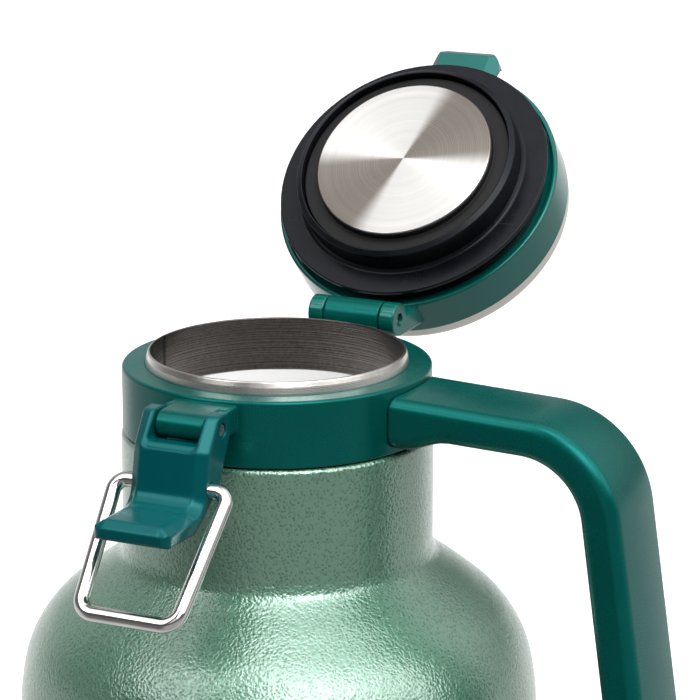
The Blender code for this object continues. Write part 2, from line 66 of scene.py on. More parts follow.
LID_OPENING = (Matrix.Translation((0, HINGE_Y * MM, (RIM + HINGE_Z) * MM))
               @ Matrix.Rotation(-LID_OPEN, 4, 'X')
               @ Matrix.Translation((0, -HINGE_Y * MM, -(RIM + HINGE_Z) * MM)))


# ------------------------------------------------------------------ outlines
def arc(cx, cy, r, a0, a1, n):
    return [(cx + r * math.cos(math.radians(a0 + (a1 - a0) * i / n)),
             cy + r * math.sin(math.radians(a0 + (a1 - a0) * i / n)))
            for i in range(n + 1)]


def spline(points, per):
    out = []
    n = len(points)
    for i in range(n - 1):
        p0, p1 = Vector(points[max(i - 1, 0)]), Vector(points[i])
        p2, p3 = Vector(points[i + 1]), Vector(points[min(i + 2, n - 1)])
        for k in range(per):
            t = k / per
            q = 0.5 * ((2 * p1) + (p2 - p0) * t
                       + (2 * p0 - 5 * p1 + 4 * p2 - p3) * t * t
                       + (3 * p1 - p0 - 3 * p2 + p3) * t ** 3)
            out.append((q[0], q[1]))
    out.append(tuple(points[-1]))
    return out


def rounded(points, radii, closed=True, step=11.0):
    """An outline with its corners replaced by arcs."""
    out = []
    n = len(points)
    for i in range(n):
        r = radii[i] if isinstance(radii, (list, tuple)) else radii
        p = Vector(points[i])
        if r <= 0 or (not closed and i in (0, n - 1)):
            out.append((p[0], p[1]))
            continue
        u = Vector(points[i - 1]) - p
        v = Vector(points[(i + 1) % n]) - p
        lu, lv = u.length, v.length
        u, v = u / lu, v / lv
        half = 0.5 * math.acos(max(-1.0, min(1.0, u.dot(v))))
        if half > math.radians(88.5):
            out.append((p[0], p[1]))
            continue
        t = min(r / math.tan(half), 0.49 * lu, 0.49 * lv)
        r = t * math.tan(half)
        c = p + (u + v).normalized() * (r / math.sin(half))
        s, e = p + u * t - c, p + v * t - c
        a0, a1 = math.atan2(s[1], s[0]), math.atan2(e[1], e[0])
        d = (a1 - a0 + math.pi) % (2 * math.pi) - math.pi
        k = max(2, math.ceil(abs(math.degrees(d)) / step))
        for j in range(k + 1):
            q = a0 + d * j / k
            out.append((c[0] + r * math.cos(q), c[1] + r * math.sin(q)))
    return out


def offset(points, d):
    """An open polyline moved to its right, walking along it."""
    out = []
    n = len(points)
    for i in range(n):
        a, b, c = (Vector(points[max(i - 1, 0)]), Vector(points[i]),
                   Vector(points[min(i + 1, n - 1)]))
        d1 = (b - a).normalized() if i > 0 else (c - b).normalized()
        d2 = (c - b).normalized() if i < n - 1 else d1
        n1, n2 = Vector((d1[1], -d1[0])), Vector((d2[1], -d2[0]))
        m = (n1 + n2).normalized()
        q = b + m / max(m.dot(n1), 0.35) * d
        out.append((q[0], q[1]))
    return out


def inward(points):
    """Unit vectors into a closed outline at each of its corners, mitred."""
    n = len(points)
    area = sum(points[i - 1][0] * points[i][1] - points[i][0] * points[i - 1][1] for i in range(n))
    turn = 1.0 if area > 0 else -1.0
    out = []
    for i in range(n):
        a, b, c = Vector(points[i - 1]), Vector(points[i]), Vector(points[(i + 1) % n])
        d1, d2 = (b - a).normalized(), (c - b).normalized()
        n1, n2 = Vector((-d1[1], d1[0])) * turn, Vector((-d2[1], d2[0])) * turn
        m = (n1 + n2)
        m = m.normalized() if m.length > 1e-6 else n1
        out.append(m / max(m.dot(n1), 0.5))
    return out


def rel(points):
    return [(r, z + RIM) for r, z in points]


def clean(points, tiny=0.004):
    """Drops points that repeat the one before."""
    out = []
    for p in points:
        if not out or (Vector(p) - Vector(out[-1])).length > tiny:
            out.append(p)
    if (Vector(out[0]) - Vector(out[-1])).length < tiny:
        out.pop()
    return out


# ------------------------------------------------------------------ solids
def turned(points, seg=SEG):
    """Revolves a closed (r, z) outline about Z; one that starts and ends on
    the axis is closed by it."""
    bm = bmesh.new()
    rings = []
    for r, z in points:
        if r < 1e-6:
            rings.append([bm.verts.new((0, 0, z))])
        else:
            rings.append([bm.verts.new((r * math.cos(2 * math.pi * i / seg),
                                        r * math.sin(2 * math.pi * i / seg), z))
                          for i in range(seg)])
    pairs = list(zip(rings[:-1], rings[1:]))
    if not (len(rings[0]) == 1 and len(rings[-1]) == 1):
        pairs.append((rings[-1], rings[0]))
    for a, b in pairs:
        for i in range(seg):
            j = (i + 1) % seg
            if len(a) == 1 and len(b) == 1:
                continue
            if len(a) == 1:
                bm.faces.new((a[0], b[i], b[j]))
            elif len(b) == 1:
                bm.faces.new((a[i], b[0], a[j]))
            else:
                bm.faces.new((a[i], b[i], b[j], a[j]))
    return bm


def skin(rings, caps=True):
    """Joins closed rings of points into a tube."""
    bm = bmesh.new()
    loops = [[bm.verts.new(p) for p in ring] for ring in rings]
    n = len(loops[0])
    for a, b in zip(loops[:-1], loops[1:]):
        for k in range(n):
            j = (k + 1) % n
            bm.faces.new((a[k], b[k], b[j], a[j]))
    if caps:
        bm.faces.new(loops[0])
        bm.faces.new(list(reversed(loops[-1])))
    return bm


def lift(p, axis, t):
    return {'X': (t, p[0], p[1]), 'Y': (p[0], t, p[1]), 'Z': (p[0], p[1], t)}[axis]


def slab(outline, axis, lo, hi, edge=0.0, steps=4):
    """A closed outline pushed along an axis, its two end edges rounded."""
    outline = clean(outline)
    into = inward(outline)
    rings = []
    if edge <= 0:
        levels = [(lo, 0.0), (hi, 0.0)]
    else:
        turn = [(1 - math.cos(math.pi / 2 * k / steps), 1 - math.sin(math.pi / 2 * k / steps))
                for k in range(steps + 1)]
        levels = [(lo + edge * a, edge * b) for a, b in turn]
        levels += [(hi - edge * a, edge * b) for a, b in reversed(turn)]
    for t, d in levels:
        rings.append([lift((p[0] + v[0] * d, p[1] + v[1] * d), axis, t)
                      for p, v in zip(outline, into)])
    return skin(rings)


def rod(axis, centre, r, lo, hi, seg=48, edge=0.0):
    return slab(arc(centre[0], centre[1], r, 0, 360 - 360 / seg, seg - 1), axis, lo, hi, edge)


def temporary(bm):
    bmesh.ops.recalc_face_normals(bm, faces=bm.faces)
    bmesh.ops.scale(bm, vec=(MM, MM, MM), verts=bm.verts)
    mesh = bpy.data.meshes.new('shape')
    bm.to_mesh(mesh)
    bm.free()
    ob = bpy.data.objects.new('shape', mesh)
    bpy.context.scene.collection.objects.link(ob)
    return ob


def bake(ob):
    """Applies an object's modifiers to its mesh."""
    graph = bpy.context.evaluated_depsgraph_get()
    mesh = bpy.data.meshes.new_from_object(ob.evaluated_get(graph))
    old = ob.data
    ob.modifiers.clear()
    ob.data = mesh
    bpy.data.meshes.remove(old)
    return ob


def boolean(ob, other, op):
    if not isinstance(other, bpy.types.Object):
        other = temporary(other)
    mod = ob.modifiers.new('cut', 'BOOLEAN')
    mod.operation = op
    mod.solver = 'EXACT'
    mod.object = other
    bake(ob)
    mesh = other.data
    bpy.data.objects.remove(other)
    bpy.data.meshes.remove(mesh)
    return ob


def bevel(ob, width, segments=2, angle=25.0):
    mod = ob.modifiers.new('edge', 'BEVEL')
    mod.width = width * MM
    mod.segments = segments
    mod.limit_method = 'ANGLE'
    mod.angle_limit = math.radians(angle)
    mod.miter_outer = 'MITER_ARC'
    return bake(ob)


PIECES = {}


def finish_piece(ob, name, node, body, material, angle=32.0, matrix=None):
    """Names a piece, shades it, and puts it in its node's place."""
    if not isinstance(ob, bpy.types.Object):
        ob = temporary(ob)
    ob.name = name
    ob.data.name = name
    bm = bmesh.new()
    bm.from_mesh(ob.data)
    bmesh.ops.remove_doubles(bm, verts=bm.verts, dist=2e-7)
    bmesh.ops.recalc_face_normals(bm, faces=bm.faces)
    bm.to_mesh(ob.data)
    bm.free()
    ob.data.materials.clear()
    ob.data.materials.append(material)
    ob.data.shade_smooth()
    ob.data.set_sharp_from_angle(angle=math.radians(angle))
    mod = ob.modifiers.new('normals', 'WEIGHTED_NORMAL')
    mod.keep_sharp = True
    mod.weight = 60
    if matrix is not None:
        ob.matrix_world = matrix
    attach(ob, body)
    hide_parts(node)
    PIECES[name] = ob
    return ob


# ------------------------------------------------------------------ node help
class Tree:
    """Short words for building a node tree."""

    def __init__(self, tree):
        self.tree = tree

    def node(self, kind, **values):
        made = self.tree.nodes.new(kind)
        for key, value in values.items():
            setattr(made, key, value)
        return made

    def link(self, a, b):
        self.tree.links.new(a, b)

    def put(self, value, socket):
        if isinstance(value, bpy.types.NodeSocket):
            self.link(value, socket)
        else:
            socket.default_value = value

    def math(self, op, a, b=0.0, c=0.0, clamp=False):
        made = self.node('ShaderNodeMath', operation=op, use_clamp=clamp)
        for value, socket in zip((a, b, c), made.inputs):
            self.put(value, socket)
        return made.outputs[0]

    def vec(self, op, a, b=(0, 0, 0)):
        made = self.node('ShaderNodeVectorMath', operation=op)
        self.put(a, made.inputs[0])
        if op == 'SCALE':
            self.put(b, made.inputs[3])
        else:
            self.put(b, made.inputs[1])
        return made.outputs['Value'] if op in ('DOT_PRODUCT', 'LENGTH') else made.outputs[0]

    def ramp(self, value, lo, hi, out_lo=0.0, out_hi=1.0, smooth=True):
        made = self.node('ShaderNodeMapRange', interpolation_type='SMOOTHSTEP' if smooth else 'LINEAR')
        self.put(value, made.inputs['Value'])
        for key, number in (('From Min', lo), ('From Max', hi), ('To Min', out_lo), ('To Max', out_hi)):
            self.put(number, made.inputs[key])
        return made.outputs[0]

    def noise(self, vector, scale, detail=2.0, rough=0.5, distortion=0.0, kind='3D'):
        made = self.node('ShaderNodeTexNoise', noise_dimensions=kind)
        if kind == '1D':
            self.put(vector, made.inputs['W'])
        else:
            self.put(vector, made.inputs['Vector'])
        made.inputs['Scale'].default_value = scale
        made.inputs['Detail'].default_value = detail
        made.inputs['Roughness'].default_value = rough
        made.inputs['Distortion'].default_value = distortion
        return made.outputs['Fac']

    def voronoi(self, vector, scale, feature='F1', smooth=0.5, random=1.0):
        made = self.node('ShaderNodeTexVoronoi', feature=feature)
        self.put(vector, made.inputs['Vector'])
        made.inputs['Scale'].default_value = scale
        made.inputs['Randomness'].default_value = random
        if feature == 'SMOOTH_F1':
            made.inputs['Smoothness'].default_value = smooth
        return made.outputs['Distance']

    def mix(self, fac, a, b):
        made = self.node('ShaderNodeMix', data_type='RGBA')
        self.put(fac, made.inputs['Factor'])
        for value, socket in ((a, made.inputs['A']), (b, made.inputs['B'])):
            pass
        sockets = [s for s in made.inputs if s.type == 'RGBA']
        self.put(a if isinstance(a, bpy.types.NodeSocket) else (*a, 1.0), sockets[0])
        self.put(b if isinstance(b, bpy.types.NodeSocket) else (*b, 1.0), sockets[1])
        return [s for s in made.outputs if s.type == 'RGBA'][0]

    def bump(self, height, strength, distance, normal=None):
        made = self.node('ShaderNodeBump')
        made.inputs['Strength'].default_value = strength
        made.inputs['Distance'].default_value = distance
        self.link(height, made.inputs['Height'])
        if normal is not None:
            self.link(normal, made.inputs['Normal'])
        return made.outputs[0]

    def soft_edge(self, radius):
        made = self.node('ShaderNodeBevel', samples=6)
        made.inputs['Radius'].default_value = radius * MM
        return made.outputs[0]


def material(name, **constants):
    mat = bpy.data.materials.new(name)
    mat.use_nodes = True
    t = Tree(mat.node_tree)
    shader = next(n for n in mat.node_tree.nodes if n.type == 'BSDF_PRINCIPLED')
    for key, value in constants.items():
        shader.inputs[key.replace('_', ' ')].default_value = value
    where = t.node('ShaderNodeTexCoord').outputs['Object']
    return mat, t, shader, where


def split(t, where):
    made = t.node('ShaderNodeSeparateXYZ')
    t.link(where, made.inputs[0])
    return made.outputs


def radial(t, where):
    """Distance from the Z axis."""
    x, y, _ = split(t, where)
    return t.math('SQRT', t.math('ADD', t.math('MULTIPLY', x, x), t.math('MULTIPLY', y, y)))


# ------------------------------------------------------------------ finishes
def hammered_paint(name):
    """Hammered enamel: shallow dimples with ridges between them, the dimples' floors painted darker as shade."""
    mat, t, s, where = material(name, Metallic=0.58, Coat_Weight=1.0, Coat_Roughness=0.15, Coat_IOR=2.2)
    wobble = t.node('ShaderNodeTexNoise')
    wobble.inputs['Scale'].default_value = 420.0
    wobble.inputs['Detail'].default_value = 1.0
    t.link(where, wobble.inputs['Vector'])
    warped = t.vec('ADD', where, t.vec('SCALE', t.vec('SUBTRACT', wobble.outputs['Color'], (0.5, 0.5, 0.5)), 0.0011))
    cells = t.voronoi(warped, 1250.0, 'SMOOTH_F1', 0.3)
    fine = t.noise(warped, 2500.0, 2.0, 0.55)
    height = t.math('ADD', t.math('MULTIPLY', cells, 0.8), t.math('MULTIPLY', fine, 0.5))
    patches = t.noise(where, 60.0, 2.0, 0.5)
    # painted shade: low parts of the height (dimple floors) are coloured darker, plus a random tone by patches
    tone = t.math('ADD', t.ramp(height, 0.26, 0.66), t.ramp(patches, 0.3, 0.7, -0.06, 0.06), clamp=True)
    t.link(t.mix(tone, (0.034, 0.120, 0.068), (0.136, 0.320, 0.214)), s.inputs['Base Color'])
    t.link(t.ramp(fine, 0.3, 0.7, 0.32, 0.42), s.inputs['Roughness'])
    bump = t.bump(height, 0.65, 0.00028)
    t.link(bump, s.inputs['Normal'])
    t.link(t.bump(height, 0.55, 0.00024), s.inputs['Coat Normal'])
    return mat


def moulded(name, dark, light, rough=0.32, grain=0.10, edge=0.45, level=0.45, tint=(0.12, 1.0, 0.95)):
    """Satin moulded plastic with a fine spark-eroded grain."""
    mat, t, s, where = material(name, Specular_IOR_Level=level, Specular_Tint=(*tint, 1.0))
    cloud = t.noise(where, 55.0, 3.0, 0.55)
    grains = t.noise(where, 5200.0, 2.0, 0.6)
    tone = t.math('ADD', t.ramp(cloud, 0.25, 0.75, 0.25, 0.75), t.ramp(grains, 0.3, 0.7, -0.16, 0.16), clamp=True)
    t.link(t.mix(tone, dark, light), s.inputs['Base Color'])
    t.link(t.ramp(t.math('ADD', t.math('MULTIPLY', cloud, 0.6), t.math('MULTIPLY', grains, 0.4)), 0.3, 0.7,
                  rough - 0.05, rough + 0.06), s.inputs['Roughness'])
    t.link(t.bump(grains, grain, 0.00003, t.soft_edge(edge)), s.inputs['Normal'])
    return mat


def rubber(name):
    """Black rubber with dust, scuffs and faint moulding rings."""
    mat, t, s, where = material(name, Specular_IOR_Level=0.22, Specular_Tint=(0.9, 0.92, 1.0, 1.0))
    r = radial(t, where)
    rings = t.noise(t.math('MULTIPLY', r, 3800.0), 1.0, 2.0, 0.6, kind='1D')
    cloud = t.noise(where, 90.0, 4.0, 0.6)
    specks = t.ramp(t.voronoi(where, 420.0), 0.0, 0.11, 1.0, 0.0)
    gate = t.ramp(t.noise(where, 130.0, 2.0, 0.5), 0.5, 0.7)
    dust = t.math('MULTIPLY', specks, gate)
    streak = t.node('ShaderNodeMapping')
    streak.inputs['Scale'].default_value = (40.0, 900.0, 300.0)
    streak.inputs['Rotation'].default_value = (0.0, 0.0, 0.7)
    t.link(where, streak.inputs['Vector'])
    scuffs = t.math('MULTIPLY', t.ramp(t.noise(streak.outputs[0], 1.0, 2.0, 0.6), 0.62, 0.8), gate)
    wear = t.math('ADD', t.math('MULTIPLY', dust, 0.5), t.math('MULTIPLY', scuffs, 0.22), clamp=True)
    base = t.mix(t.ramp(cloud, 0.3, 0.7), (0.0030, 0.0033, 0.0050), (0.0060, 0.0065, 0.0090))
    t.link(t.mix(wear, base, (0.10, 0.095, 0.09)), s.inputs['Base Color'])
    t.link(t.math('ADD', t.ramp(cloud, 0.3, 0.7, 0.24, 0.36), t.math('MULTIPLY', wear, 0.3)), s.inputs['Roughness'])
    grain = t.noise(where, 3000.0, 2.0, 0.6)
    height = t.math('ADD', t.math('MULTIPLY', rings, 0.6), t.math('MULTIPLY', grain, 0.4))
    t.link(t.bump(height, 0.18, 0.00004, t.soft_edge(0.15)), s.inputs['Normal'])
    return mat


def spun_steel(name, low, high, rough=0.3, stretch=0.85, fine=5200.0, bow=None):
    """Steel brushed in circles about the Z axis; a bow of two opposite
    sectors may be painted darker in the base colour, a painted reflection of the circular brushing."""
    mat, t, s, where = material(name, Metallic=1.0, Anisotropic=stretch, Anisotropic_Rotation=0.25)
    tangent = t.node('ShaderNodeTangent', direction_type='RADIAL', axis='Z')
    t.link(tangent.outputs[0], s.inputs['Tangent'])
    r = radial(t, where)
    lines = t.noise(t.math('MULTIPLY', r, fine), 1.0, 3.0, 0.7, kind='1D')
    bands = t.noise(t.math('MULTIPLY', r, fine * 0.12), 1.0, 2.0, 0.5, kind='1D')
    tone = t.math('ADD', t.math('MULTIPLY', lines, 0.65), t.math('MULTIPLY', bands, 0.35))
    colour = t.mix(t.ramp(tone, 0.3, 0.7), low, high)
    if bow is not None:
        # painted reflection: two opposite sectors of the base colour are darkened towards the shade colour, standing in
        # for the bow that circular brushing reflects
        x, y, _ = split(t, where)
        turn = t.math('ADD', t.math('ARCTAN2', t.math('MULTIPLY', y, -1.0), x), -math.radians(bow))
        painted_reflection_sector = t.ramp(t.math('COSINE', t.math('MULTIPLY', turn, 2.0)), 0.05, 0.60)
        shade = t.mix(t.ramp(lines, 0.3, 0.7), (0.30, 0.272, 0.242), (0.41, 0.380, 0.350))
        painted_reflection_darkened = t.node('ShaderNodeMix', data_type='RGBA', blend_type='MULTIPLY')
        sockets = [k for k in painted_reflection_darkened.inputs if k.type == 'RGBA']
        t.link(painted_reflection_sector, painted_reflection_darkened.inputs['Factor'])
        t.link(colour, sockets[0])
        t.link(shade, sockets[1])
        colour = [k for k in painted_reflection_darkened.outputs if k.type == 'RGBA'][0]
    t.link(colour, s.inputs['Base Color'])
    t.link(t.ramp(tone, 0.3, 0.7, rough + 0.05, rough - 0.05), s.inputs['Roughness'])
    t.link(t.bump(lines, 0.05, 0.00002), s.inputs['Normal'])
    return mat


def liner_steel(name):
    """Turned bright band at the mouth, its dark level painted shade under real turning lines; satin blast-finished wall
    below it, its near-white non-metal colour a painted highlight.
    """
    mat, t, s, where = material(name, Anisotropic=0.55, Anisotropic_Rotation=0.25)
    tangent = t.node('ShaderNodeTangent', direction_type='RADIAL', axis='Z')
    t.link(tangent.outputs[0], s.inputs['Tangent'])
    x, y, z = split(t, where)
    r = radial(t, where)
    wave = t.math('MULTIPLY', t.noise(where, 60.0, 2.0, 0.5), 0.0004)
    band = t.ramp(t.math('ADD', z, wave), (RIM - 13.9) * MM, (RIM - 13.5) * MM)
    height_lines = t.math('ADD', t.math('MULTIPLY', z, 4600.0), t.math('MULTIPLY', t.math('ARCTAN2', y, x), 0.35))
    lines = t.noise(height_lines, 1.0, 3.0, 0.75, kind='1D')
    broken = t.noise(where, 1100.0, 3.0, 0.6)
    groove = t.math('ADD', t.math('MULTIPLY', lines, 0.86), t.math('MULTIPLY', broken, 0.14))
    # the turning lines are real marks; the near-black level of this band is painted shade inside the mouth
    turned_lines_painted_shade = t.mix(t.ramp(groove, 0.36, 0.66), (0.045, 0.040, 0.038), (0.31, 0.285, 0.268))
    inside = t.ramp(r, 0.0319, 0.0322, 1.0, 0.0)
    turned_mask = t.math('MULTIPLY', band, inside)
    # butt weld of the rolled tube
    seam_angle = t.math('ABSOLUTE', t.math('ADD', t.math('ARCTAN2', y, x), 3.10))
    seam = t.math('MULTIPLY', t.ramp(seam_angle, 0.012, 0.036, 1.0, 0.0), inside)
    plain = t.mix(t.ramp(broken, 0.3, 0.7), (0.70, 0.67, 0.63), (0.82, 0.79, 0.75))
    # painted highlight: the wall below the band is near-white and non-metal, standing in for the bright reflection of
    # polished steel
    satin_painted_highlight = t.mix(t.ramp(broken, 0.3, 0.7), (0.95, 0.95, 0.94), (0.98, 0.98, 0.975))
    wall = t.mix(band, satin_painted_highlight, turned_lines_painted_shade)
    colour = t.mix(inside, plain, wall)
    t.link(t.mix(t.math('MULTIPLY', seam, 0.9), colour, (0.022, 0.020, 0.018)), s.inputs['Base Color'])
    below = t.math('MULTIPLY', inside, t.math('SUBTRACT', 1.0, band))
    t.link(t.ramp(below, 0.0, 1.0, 1.0, 0.0), s.inputs['Metallic'])
    rough = t.math('ADD', t.ramp(groove, 0.3, 0.7, 0.34, 0.24), t.math('MULTIPLY', below, 0.4))
    t.link(rough, s.inputs['Roughness'])
    t.link(t.bump(t.math('MULTIPLY', groove, t.math('ADD', 0.15, turned_mask)), 0.5, 0.00006), s.inputs['Normal'])
    return mat


def bright_wire(name):
    """Polished plated wire with faint drawing marks."""
    mat, t, s, where = material(name, Metallic=1.0)
    cloud = t.noise(where, 160.0, 3.0, 0.6)
    marks = t.noise(where, 2600.0, 2.0, 0.6)
    t.link(t.mix(t.ramp(cloud, 0.3, 0.7), (0.80, 0.785, 0.765), (0.90, 0.885, 0.87)), s.inputs['Base Color'])
    t.link(t.ramp(marks, 0.3, 0.7, 0.11, 0.18), s.inputs['Roughness'])
    t.link(t.bump(marks, 0.03, 0.00002), s.inputs['Normal'])
    return mat


def plain_steel(name, low=(0.50, 0.48, 0.46), high=(0.70, 0.68, 0.65), rough=0.3):
    mat, t, s, where = material(name, Metallic=1.0)
    cloud = t.noise(where, 300.0, 3.0, 0.6)
    marks = t.noise(where, 3200.0, 2.0, 0.6)
    t.link(t.mix(t.ramp(cloud, 0.3, 0.7), low, high), s.inputs['Base Color'])
    t.link(t.ramp(marks, 0.3, 0.7, rough - 0.06, rough + 0.08), s.inputs['Roughness'])
    t.link(t.bump(marks, 0.1, 0.00003), s.inputs['Normal'])
    return mat


def foam(name):
    mat, t, s, where = material(name)
    cells = t.voronoi(where, 900.0)
    t.link(t.mix(t.ramp(cells, 0.1, 0.6), (0.55, 0.52, 0.44), (0.82, 0.79, 0.70)), s.inputs['Base Color'])
    t.link(t.ramp(cells, 0.0, 0.7, 0.95, 0.8), s.inputs['Roughness'])
    t.link(t.bump(cells, 0.6, 0.0004), s.inputs['Normal'])
    return mat


M_PAINT = hammered_paint('hammered_paint')
M_GREEN = moulded('green_plastic', (0.0, 0.047, 0.040), (0.0, 0.061, 0.052), rough=0.26, level=0.8, tint=(0.10, 1.0, 0.93))
M_LID = moulded('lid_plastic', (0.0, 0.068, 0.055), (0.0, 0.086, 0.071), rough=0.12, edge=0.35, level=0.8, tint=(0.45, 1.0, 0.98))
M_LEVER = moulded('lever_plastic', (0.0, 0.055, 0.059), (0.0, 0.069, 0.074), rough=0.18, edge=0.9, level=0.5, tint=(0.28, 1.0, 1.0))
M_RUBBER = rubber('black_rubber')
M_BLACK = moulded('black_plastic', (0.006, 0.006, 0.007), (0.012, 0.012, 0.013), rough=0.5, grain=0.5, edge=0.15, level=0.25, tint=(1.0, 1.0, 1.0))
# bow=41.0 sets the angle of the painted dark reflection sectors on the disc
M_DISC = spun_steel('disc_steel', (0.68, 0.667, 0.650), (0.76, 0.747, 0.728), rough=0.40, stretch=0.6, bow=41.0)
M_COVER = spun_steel('cover_steel', (0.70, 0.665, 0.63), (0.82, 0.785, 0.75), rough=0.36, stretch=0.7)
M_BASE = spun_steel('base_steel', (0.55, 0.53, 0.50), (0.68, 0.66, 0.63), rough=0.36, stretch=0.6)
M_LINER = liner_steel('liner_steel')
M_WIRE = bright_wire('chrome_wire')
M_PIN = plain_steel('pin_steel')
M_SCREW = plain_steel('screw_steel', (0.36, 0.36, 0.36), (0.52, 0.52, 0.51), 0.32)
M_BRACKET = plain_steel('bracket_steel', (0.42, 0.42, 0.42), (0.56, 0.56, 0.55), 0.4)
M_SEAL = plain_steel('seal_metal', (0.24, 0.235, 0.22), (0.36, 0.35, 0.33), 0.45)
M_GETTER = plain_steel('getter_metal', (0.16, 0.16, 0.165), (0.28, 0.28, 0.29), 0.55)
M_FOAM = foam('foam')


# ------------------------------------------------------------------ bottle
wall = ([(34.4, -5.6), (34.4, -20.25)]
        + rounded([(34.4, -20.25), (39.4, -20.3), (39.4, -49.3)], [0, 1.25, 0], closed=False, step=9)[1:-1]
        + [(39.4, -24.0), (39.4, -30.0), (39.4, -37.0), (39.4, -44.0)]
        + spline(SHOULDER, 9))
wall = rel(wall) + [(BODY_R, z) for z in (132.0, 122.0, 110.0, 96.0, 80.0, 62.0, 44.0, 26.0, 14.0)]
wall += [(BODY_R, 10.0), (BODY_R - 0.12, 9.5), (BODY_R - 0.4, 9.3)]
inner = offset(wall, 0.9)
inner[0] = (33.5, wall[0][1])
inner[-1] = (BODY_R - 0.9, 9.3)
finish_piece(turned(clean(wall + list(reversed(inner)))), 'flask_outer_shell', 'outer_shell', 'flask',
             M_PAINT, 40)

base = rounded([(3.1, 2.9), (50.0, 2.9), (50.0, 0.0), (61.6, 0.0), (66.4, 1.2), (66.4, 9.0), (65.5, 9.0),
                (65.2, 6.4), (62.2, 3.9), (3.1, 3.9)],
               [0.2, 0.2, 0.5, 2.2, 3.4, 0.3, 0.2, 1.5, 1.5, 0.2])
finish_piece(turned(clean(base)), 'flask_outer_base', 'outer_base', 'flask', M_PAINT, 40)
cover = [(0, 0.0)] + rounded([(0, 0.0), (26.0, 0.0), (26.6, 0.5), (29.4, 0.5), (30.0, 0.0), (49.6, 0.0), (49.6, 2.5), (0, 2.5)],
                             [0, 0.5, 0.5, 0.5, 0.5, 0.8, 0.3, 0], closed=False)[1:-1] + [(0, 2.5)]
finish_piece(turned(cover), 'flask_base_cover', 'base_cover', 'flask', M_BASE, 30)

lip = rounded([(31.7, -4.4), (31.7, 0.0), (32.4, 0.0), (32.9, -1.4), (33.15, -2.9), (33.15, -3.9), (32.5, -4.6), (32.5, -47.0)],
              [0, 0.35, 0.5, 2.4, 1.0, 0.3, 0.3, 0], closed=False, step=5)
liner_out = rel(lip[1:-1] + [(32.5, -12.0), (32.5, -26.0)] + spline(LINER_SHOULDER, 6)) + [
    (62.3, 120.0), (62.3, 90.0), (62.3, 60.0), (62.3, 34.0)]
floor_out = rounded([(62.3, 34.0), (62.3, 14.0), (56.5, 11.0), (0, 11.0)], [0, 9.0, 9.0, 0], closed=False, step=8)
liner_out += floor_out[1:]
tube = [(31.7, z) for z in (-4.4, -9.0, -13.6, -18.0, -25.0, -32.0, -40.0)]
liner_in = rel(tube + [(r - 0.8, z) for r, z in LINER_SHOULDER[:1]] + offset(spline(LINER_SHOULDER, 6), 0.8)[1:]) + [
    (61.5, 120.0), (61.5, 90.0), (61.5, 60.0), (61.5, 34.0)]
floor_in = rounded([(61.5, 34.0), (61.5, 14.4), (56.1, 11.8), (0, 11.8)], [0, 8.2, 8.2, 0], closed=False, step=8)
liner_in += floor_in[1:]
finish_piece(turned(list(reversed(liner_in)) + liner_out), 'flask_inner_liner', 'inner_liner', 'flask',
             M_LINER, 35)

# ------------------------------------------------------------------ collar
ring = rounded([(33.2, -3.2), (COLLAR_R, -3.2), (COLLAR_R, -19.92), (34.75, -19.92), (34.75, -5.25), (33.2, -5.25)],
               [0.1, 0.85, 0.45, 0.2, 0.2, 0.2], step=9)
collar = temporary(turned(rel(clean(ring))))
root = rounded([(-43.5, -11.2), (-36.2, -11.2), (-36.2, -4.3), (-43.5, -4.3)], [1.0, 0, 0, 1.0])
boolean(collar, slab([(y, z + RIM) for y, z in root], 'X', -8.6, 8.6, 0.9), 'UNION')
lug = ([(-36.4, -4.25), (PIN_Y, PIN_Z + LUG_R)] + arc(PIN_Y, PIN_Z, LUG_R, 95, 265, 24)
       + [(PIN_Y, PIN_Z - LUG_R), (-46.0, -10.4), (-36.4, -10.4)])
boolean(collar, slab([(y, z + RIM) for y, z in lug], 'X', -LUG_HALF, LUG_HALF, 0.45), 'UNION')
web = rounded([(36.5, -3.6), (44.2, -3.4), (HINGE_Y, HINGE_Z), (48.6, -5.4), (45.0, -7.9), (36.5, -15.0)],
              [0, 0, 0, 1.5, 3.0, 0])
boolean(collar, slab([(y, z + RIM) for y, z in web], 'X', -KNUCKLE_HALF, KNUCKLE_HALF, 0.4), 'UNION')
boolean(collar, rod('X', (HINGE_Y, HINGE_Z + RIM), KNUCKLE_R, -KNUCKLE_HALF, KNUCKLE_HALF, 64, 0.4), 'UNION')
boolean(collar, rod('X', (HINGE_Y, HINGE_Z + RIM), 1.7, -20, 20, 40), 'DIFFERENCE')
boolean(collar, rod('X', (PIN_Y, PIN_Z + RIM), 1.7, -20, 20, 40), 'DIFFERENCE')
SCREW_Z = RIM - 12.4
for y in (-7.5, 7.5):
    boolean(collar, rod('X', (y, SCREW_Z), 3.6, 30.0, 36.8, 40), 'DIFFERENCE')
    boolean(collar, rod('X', (y, SCREW_Z), 2.05, 30.0, 45.0, 32), 'DIFFERENCE')
finish_piece(collar, 'neck_collar', 'collar', 'flask', M_GREEN, 28)

finish_piece(rod('X', (HINGE_Y, HINGE_Z + RIM), 1.5, -11.5, 11.5, 48, 0.25), 'lid_hinge_pin', 'hinge_pin', 'flask',
             M_PIN)
finish_piece(rod('X', (PIN_Y, PIN_Z + RIM), 1.5, -9.9, 9.9, 48, 0.25), 'latch_pin', 'lever_pin', 'flask',
             M_PIN)


